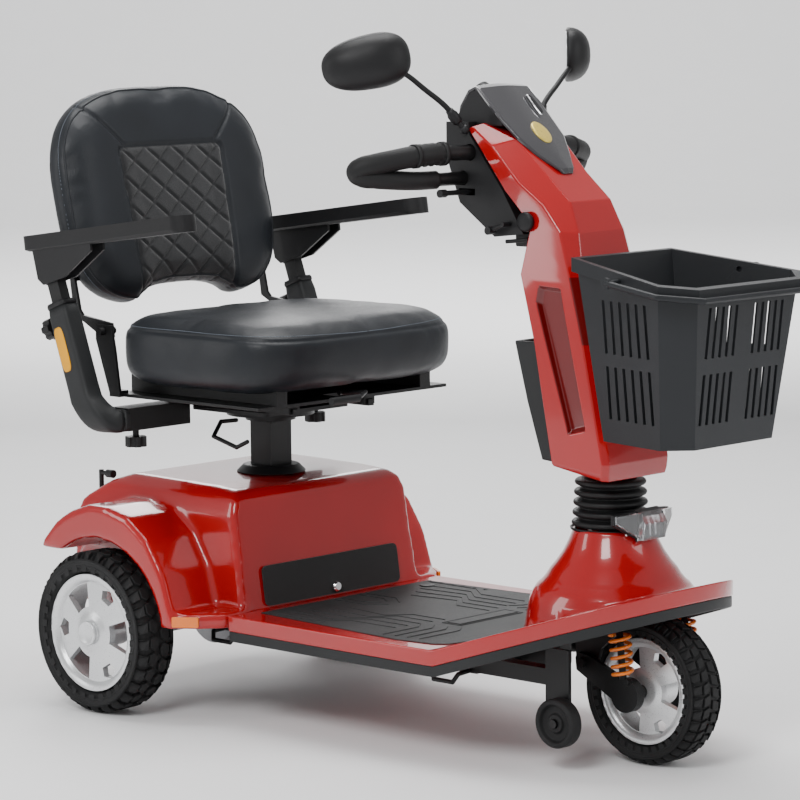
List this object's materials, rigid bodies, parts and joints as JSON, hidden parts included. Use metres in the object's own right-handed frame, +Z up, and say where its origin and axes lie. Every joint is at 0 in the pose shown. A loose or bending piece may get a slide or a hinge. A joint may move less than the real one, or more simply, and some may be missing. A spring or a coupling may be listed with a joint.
{
  "type": "mobility scooter",
  "caption": "Three-wheel electric mobility scooter with padded swivel seat, flip-up armrests, tilting tiller with loop handles, mirrors and a front basket.",
  "frame": {"origin": "centre of the overall length and width, on the floor under the tyres", "axes": "+X forward, +Y the rider's left, +Z up"},
  "size_m": [1.2853, 0.6356, 1.048],
  "materials": {
    "frame_black": "satin powder coat",
    "red_gloss": "gloss clear-coated red",
    "trim_black": "moulded, fine grain",
    "mat_rubber": "moulded tread",
    "boot_rubber": "matt",
    "tyre": "black tyre rubber",
    "rim_silver": "silver painted casting",
    "lens_clear": "clear",
    "amber": "amber reflector",
    "battery_grey": "moulded case",
    "cast_grey": "die cast",
    "chrome": "polished",
    "spring_orange": "gloss orange",
    "dash_grey": "gloss dark grey",
    "grip_rubber": "soft grip",
    "basket_plastic": "moulded, satin",
    "vinyl": "dark grey-blue vinyl",
    "panel_felt": "black carpet panel",
    "steel": "zinc plated"
  },
  "bodies": {
    "chassis": {"chassis_frame": "frame_black", "floor_deck": "red_gloss", "deck_trim": "trim_black", "deck_mat": "mat_rubber", "rear_shroud": "red_gloss", "kick_panel": "panel_felt", "front_shroud": "red_gloss", "headlight_housing": "trim_black", "headlight_lens": "lens_clear", "side_reflectors": "amber", "batteries": "battery_grey", "transaxle": "cast_grey", "seat_post_collar": "trim_black", "bellows": "boot_rubber"},
    "panel_latch": {"panel_knob": "chrome"},
    "freewheel": {"freewheel_lever": "trim_black"},
    "rear_wheel_left": {"rear_tyre_left": "tyre", "rear_rim_left": "rim_silver"},
    "rear_wheel_right": {"rear_tyre_right": "tyre", "rear_rim_right": "rim_silver"},
    "steering": {"steering_yoke": "frame_black", "suspension_spring": "spring_orange"},
    "front_arm": {"swing_arm": "frame_black"},
    "front_wheel": {"front_tyre": "tyre", "front_rim": "rim_silver"},
    "anti_tip_left": {"anti_tip_wheel_left": "trim_black"},
    "anti_tip_right": {"anti_tip_wheel_right": "trim_black"},
    "tiller": {"tiller_tube": "frame_black", "tiller_cover": "red_gloss", "tiller_back_cover": "trim_black", "dash_panel": "dash_grey", "head_housing": "trim_black", "handlebar": "frame_black", "handlebar_grips": "grip_rubber"},
    "throttle": {"throttle_lever": "trim_black"},
    "dial": {"speed_dial": "trim_black"},
    "key": {"ignition_key": "chrome"},
    "tilt_release": {"tilt_lever": "trim_black"},
    "basket_body": {"basket": "basket_plastic"},
    "bail": {"basket_handle": "basket_plastic"},
    "mirror_l": {"mirror_left": "trim_black"},
    "mirror_r": {"mirror_right": "trim_black"},
    "post": {"seat_post": "frame_black"},
    "turntable": {"swivel_plate": "frame_black"},
    "seat": {"seat_frame": "frame_black", "seat_cushion": "vinyl"},
    "back": {"back_frame": "frame_black", "backrest": "vinyl"},
    "arm_left": {"arm_post_left": "trim_black"},
    "arm_right": {"arm_post_right": "trim_black"},
    "riser_left": {"arm_riser_left": "frame_black"},
    "riser_right": {"arm_riser_right": "frame_black"},
    "rest_left": {"armrest_left": "trim_black"},
    "rest_right": {"armrest_right": "trim_black"},
    "swivel_release": {"swivel_lever": "frame_black"},
    "slide_release": {"slide_lever": "trim_black"},
    "w_knob_left": {"width_knob_left": "trim_black"},
    "w_knob_right": {"width_knob_right": "trim_black"},
    "h_knob_left": {"height_knob_left": "trim_black"},
    "h_knob_right": {"height_knob_right": "trim_black"}
  },
  "joints": [
    {"name": "panel_knob_turn", "type": "hinge", "parent": "chassis", "child": "panel_latch", "pos_m": [-0.2013, 0, 0.1847], "axis": [0.9895, 0, 0.1444], "range_deg": [0, 90]},
    {"name": "freewheel_turn", "type": "hinge", "parent": "chassis", "child": "freewheel", "pos_m": [-0.5577, -0.168, 0.33], "axis": [0, 0, 1], "range_deg": [-60, 0]},
    {"name": "rear_left_spin", "type": "hinge", "parent": "chassis", "child": "rear_wheel_left", "pos_m": [-0.4317, 0.2785, 0.127], "axis": [0, 1, 0], "continuous": true},
    {"name": "rear_right_spin", "type": "hinge", "parent": "chassis", "child": "rear_wheel_right", "pos_m": [-0.4317, -0.2785, 0.127], "axis": [0, 1, 0], "continuous": true},
    {"name": "steer", "type": "hinge", "parent": "chassis", "child": "steering", "pos_m": [0.3643, 0, 0.37], "axis": [-0.2588, 0, 0.9659], "range_deg": [-45, 45], "deforming": ["bellows"]},
    {"name": "front_suspension", "type": "hinge", "parent": "steering", "child": "front_arm", "pos_m": [0.3643, 0, 0.146], "axis": [0, -1, 0], "range_deg": [0, 6], "stiffness_Nm_per_rad": 600, "springref_deg": -8.59, "deforming": ["suspension_spring"]},
    {"name": "front_spin", "type": "hinge", "parent": "front_arm", "child": "front_wheel", "pos_m": [0.4443, 0, 0.108], "axis": [0, 1, 0], "continuous": true},
    {"name": "anti_tip_left_spin", "type": "hinge", "parent": "chassis", "child": "anti_tip_left", "pos_m": [0.3843, 0.1415, 0.072], "axis": [0, 1, 0], "continuous": true},
    {"name": "anti_tip_right_spin", "type": "hinge", "parent": "chassis", "child": "anti_tip_right", "pos_m": [0.3843, -0.1415, 0.072], "axis": [0, 1, 0], "continuous": true},
    {"name": "tiller_tilt", "type": "hinge", "parent": "steering", "child": "tiller", "pos_m": [0.3643, 0, 0.434], "axis": [0, -1, 0], "range_deg": [-6, 18]},
    {"name": "throttle_swing", "type": "hinge", "parent": "tiller", "child": "throttle", "pos_m": [0.1503, 0, 0.822], "axis": [0, 0, 1], "range_deg": [-8, 8], "stiffness_Nm_per_rad": 1},
    {"name": "speed_dial_turn", "type": "hinge", "parent": "tiller", "child": "dial", "pos_m": [0.1253, 0, 0.96], "axis": [-0.788, 0, 0.6157], "range_deg": [-135, 135]},
    {"name": "key_turn", "type": "hinge", "parent": "tiller", "child": "key", "pos_m": [0.1253, 0.036, 0.96], "axis": [-0.788, 0, 0.6157], "range_deg": [0, 90]},
    {"name": "tilt_lever_pull", "type": "hinge", "parent": "tiller", "child": "tilt_release", "pos_m": [0.2343, 0, 0.778], "axis": [0, 1, 0], "range_deg": [0, 20], "stiffness_Nm_per_rad": 0.8},
    {"name": "basket_lift", "type": "slide", "parent": "tiller", "child": "basket_body", "axis": [0, 0, 1], "range_m": [0, 0.04]},
    {"name": "basket_handle_swing", "type": "hinge", "parent": "basket_body", "child": "bail", "pos_m": [0.4983, 0, 0.712], "axis": [0, -1, 0], "range_deg": [0, 95]},
    {"name": "mirror_left_turn", "type": "hinge", "parent": "tiller", "child": "mirror_l", "pos_m": [0.1553, 0.08, 0.914], "axis": [0, 0, 1], "range_deg": [-20, 20]},
    {"name": "mirror_right_turn", "type": "hinge", "parent": "tiller", "child": "mirror_r", "pos_m": [0.1553, -0.08, 0.914], "axis": [0, 0, 1], "range_deg": [-20, 20]},
    {"name": "seat_height", "type": "slide", "parent": "chassis", "child": "post", "axis": [0, 0, 1], "range_m": [0, 0.075]},
    {"name": "seat_swivel", "type": "hinge", "parent": "post", "child": "turntable", "pos_m": [-0.3397, 0, 0.455], "axis": [0, 0, 1], "range_deg": [-90, 90]},
    {"name": "seat_slide", "type": "slide", "parent": "turntable", "child": "seat", "axis": [1, 0, 0], "range_m": [-0.05, 0.05]},
    {"name": "backrest_fold", "type": "hinge", "parent": "seat", "child": "back", "pos_m": [-0.4887, 0, 0.588], "axis": [0, -1, 0], "range_deg": [-80, 0]},
    {"name": "arm_width_left", "type": "slide", "parent": "seat", "child": "arm_left", "axis": [0, 1, 0], "range_m": [0, 0.05]},
    {"name": "arm_height_left", "type": "slide", "parent": "arm_left", "child": "riser_left", "axis": [-0.342, 0, 0.9397], "range_m": [0, 0.06]},
    {"name": "armrest_flip_left", "type": "hinge", "parent": "riser_left", "child": "rest_left", "pos_m": [-0.55584, 0.262, 0.68416], "axis": [0, -1, 0], "range_deg": [0, 95]},
    {"name": "width_knob_turn_left", "type": "hinge", "parent": "seat", "child": "w_knob_left", "pos_m": [-0.4387, 0.2, 0.424], "axis": [0, 0, 1], "range_deg": [0, 180]},
    {"name": "height_knob_turn_left", "type": "hinge", "parent": "arm_left", "child": "h_knob_left", "pos_m": [-0.55273, 0.262, 0.59377], "axis": [0.9397, 0, 0.342], "range_deg": [0, 180]},
    {"name": "arm_width_right", "type": "slide", "parent": "seat", "child": "arm_right", "axis": [0, -1, 0], "range_m": [0, 0.05]},
    {"name": "arm_height_right", "type": "slide", "parent": "arm_right", "child": "riser_right", "axis": [-0.342, 0, 0.9397], "range_m": [0, 0.06]},
    {"name": "armrest_flip_right", "type": "hinge", "parent": "riser_right", "child": "rest_right", "pos_m": [-0.55584, -0.262, 0.68416], "axis": [0, -1, 0], "range_deg": [0, 95]},
    {"name": "width_knob_turn_right", "type": "hinge", "parent": "seat", "child": "w_knob_right", "pos_m": [-0.4387, -0.2, 0.424], "axis": [0, 0, 1], "range_deg": [0, 180]},
    {"name": "height_knob_turn_right", "type": "hinge", "parent": "arm_right", "child": "h_knob_right", "pos_m": [-0.55273, -0.262, 0.59377], "axis": [0.9397, 0, 0.342], "range_deg": [0, 180]},
    {"name": "swivel_lever_pull", "type": "hinge", "parent": "turntable", "child": "swivel_release", "pos_m": [-0.3397, -0.076, 0.445], "axis": [-1, 0, 0], "range_deg": [0, 12], "stiffness_Nm_per_rad": 2, "springref_deg": -6.88},
    {"name": "slide_lever_pull", "type": "hinge", "parent": "seat", "child": "slide_release", "pos_m": [-0.1737, 0, 0.495], "axis": [0, -1, 0], "range_deg": [0, 7], "stiffness_Nm_per_rad": 3, "springref_deg": -6.88}
  ]
}
